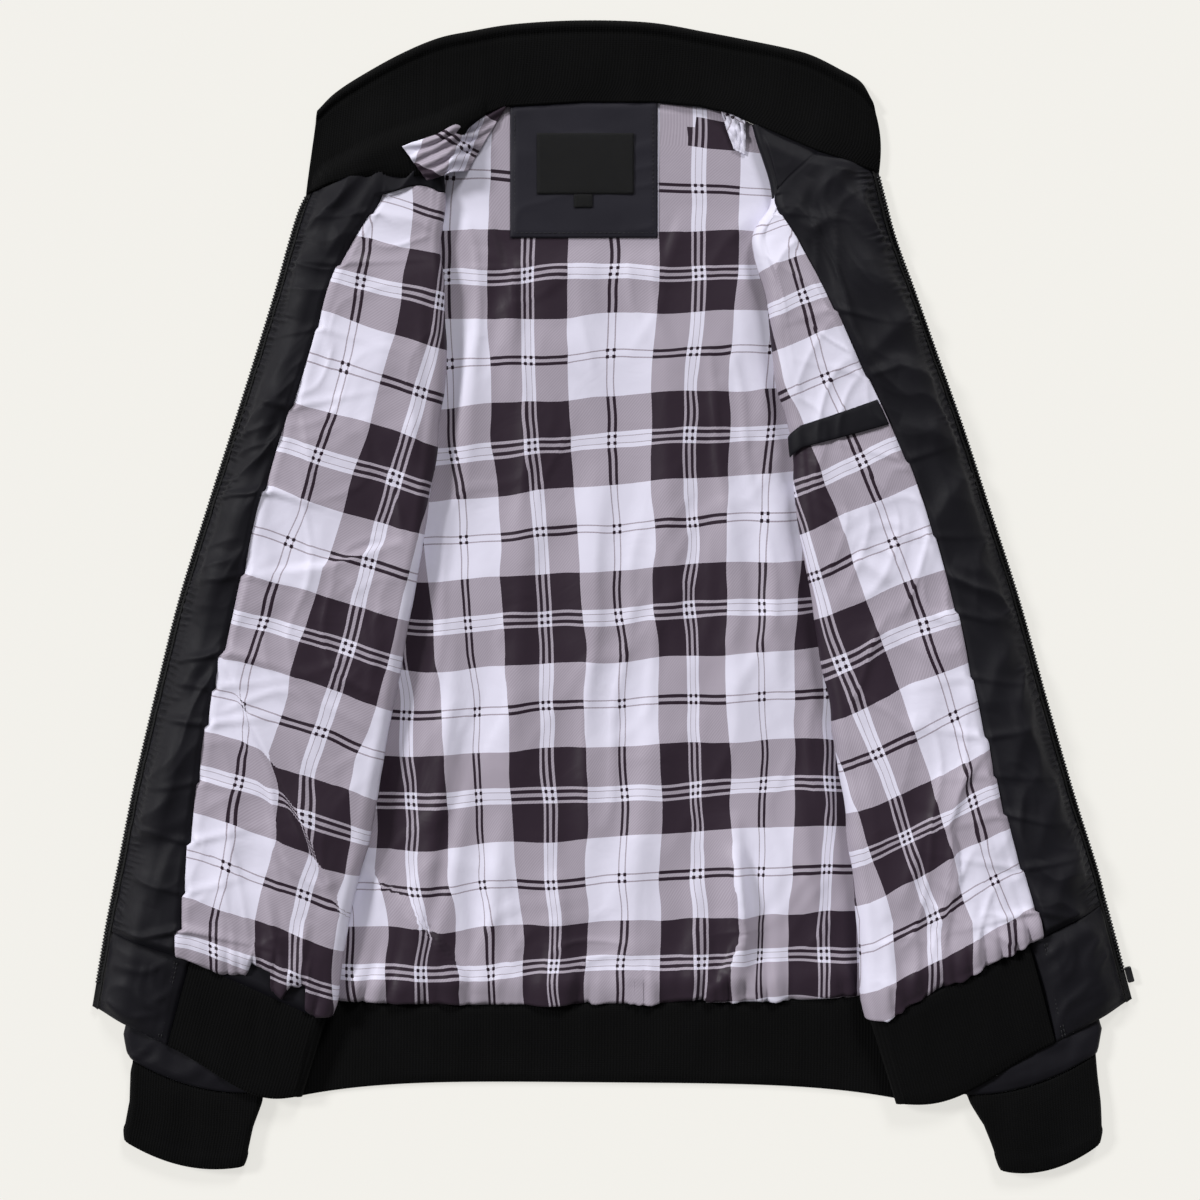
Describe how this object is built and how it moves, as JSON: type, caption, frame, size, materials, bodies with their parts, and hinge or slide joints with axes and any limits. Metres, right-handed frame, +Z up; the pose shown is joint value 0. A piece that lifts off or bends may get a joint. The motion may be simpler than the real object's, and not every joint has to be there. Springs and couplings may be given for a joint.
{
  "type": "bomber jacket",
  "caption": "Bomber jacket laid open on its back, inside up: plaid lining, dark facings, rib collar, hem and cuffs, open front zip and inner pocket.",
  "frame": {"origin": "centre of the jacket's outline, on the surface it lies on", "axes": "+Y from the hem towards the collar, +X towards the front with the inner pocket, +Z up off the surface"},
  "size_m": [0.7201, 0.7946, 0.0228],
  "materials": {
    "shell": "smooth black polyester with a soft sheen",
    "lining": "satin lining in black, grey and white plaid",
    "rib": "matt black fine rib knit",
    "zip_tape": "black woven zip tape with black moulded teeth",
    "slider": "black painted metal",
    "label": "black woven label, bare"
  },
  "bodies": {
    "root": {"back_shell": "shell", "left_front_shell": "shell", "right_front_shell": "shell", "left_facing": "shell", "right_facing": "shell", "left_hem_tab": "shell", "right_hem_tab": "shell", "left_sleeve": "shell", "right_sleeve": "shell", "pocket_welt": "shell", "neck_patch": "shell", "back_lining": "lining", "left_lining": "lining", "right_lining": "lining", "left_neck_tuck": "lining", "right_neck_tuck": "lining", "collar": "rib", "back_hem_rib": "rib", "left_hem_rib": "rib", "right_hem_rib": "rib", "left_cuff": "rib", "right_cuff": "rib", "left_zip_tape": "zip_tape", "right_zip_tape": "zip_tape", "zip_slider": "slider", "neck_label": "label", "size_tab": "label"}
  },
  "joints": []
}
